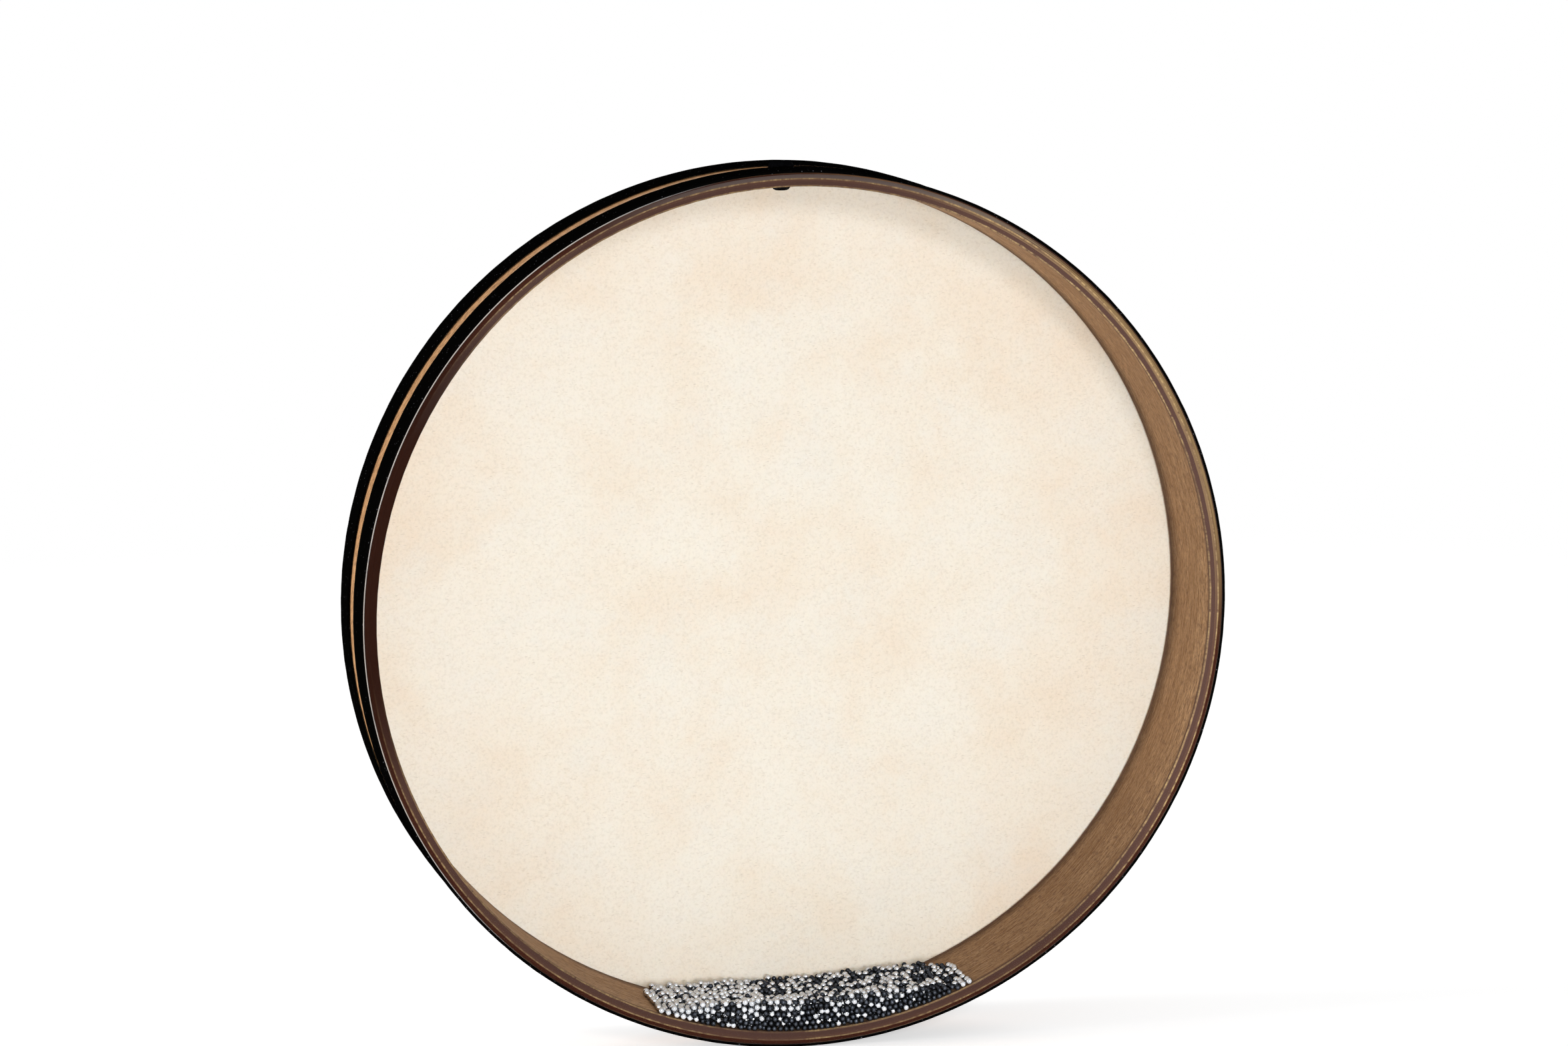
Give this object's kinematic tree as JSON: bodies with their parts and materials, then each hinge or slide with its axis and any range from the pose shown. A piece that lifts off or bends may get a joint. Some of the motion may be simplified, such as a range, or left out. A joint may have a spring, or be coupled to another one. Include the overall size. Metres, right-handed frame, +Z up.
{
  "type": "ocean drum",
  "caption": "Round hand drum with a clear head, a skin head and loose steel balls between them that sound like surf when it is tilted",
  "frame": {"origin": "On the ground under the middle of the drum, which stands on edge: the lowest point of the rear tape, half way between the outer faces of the two heads", "axes": "+Z up, the drum's own axis along Y, with the clear head towards -Y and the skin head towards +Y"},
  "size_m": [0.5115, 0.0808, 0.5135],
  "materials": {
    "stained_veneer": "dark stained and satin lacquered",
    "stained_ply": "stained through, lacquered where it shows",
    "pale_ply": "pale wood that shows as a line along the crest",
    "clear_film": "clear polyester film, stretched tight",
    "goat_skin": "scraped hide, cream, slightly mottled",
    "black_webbing": "black woven tape, glued down",
    "tack_steel": "plain steel",
    "plug_rubber": "smooth black rubber",
    "bright_steel": "polished, nickel plated",
    "dark_steel": "blackened and oiled"
  },
  "bodies": {
    "drum": {"outer_veneer": "stained_veneer", "outer_cross_ply": "stained_ply", "core_ply": "pale_ply", "inner_cross_ply": "stained_ply", "inner_veneer": "stained_veneer", "front_head": "clear_film", "rear_head": "goat_skin", "front_tape": "black_webbing", "rear_tape": "black_webbing", "front_tacks": "tack_steel", "rear_tacks": "tack_steel"},
    "heap": {"bright_balls": "bright_steel", "dark_balls": "dark_steel"},
    "plug": {"filler_plug": "plug_rubber"}
  },
  "joints": [
    {"name": "heap_roll", "type": "hinge", "parent": "drum", "child": "heap", "pos_m": [0, -0.00015, 0.2558], "axis": [0, 1, 0], "range_deg": [-60, 60]},
    {"name": "plug_pull", "type": "slide", "parent": "drum", "child": "plug", "axis": [0, 0, 1], "range_m": [0, 0.02]}
  ]
}
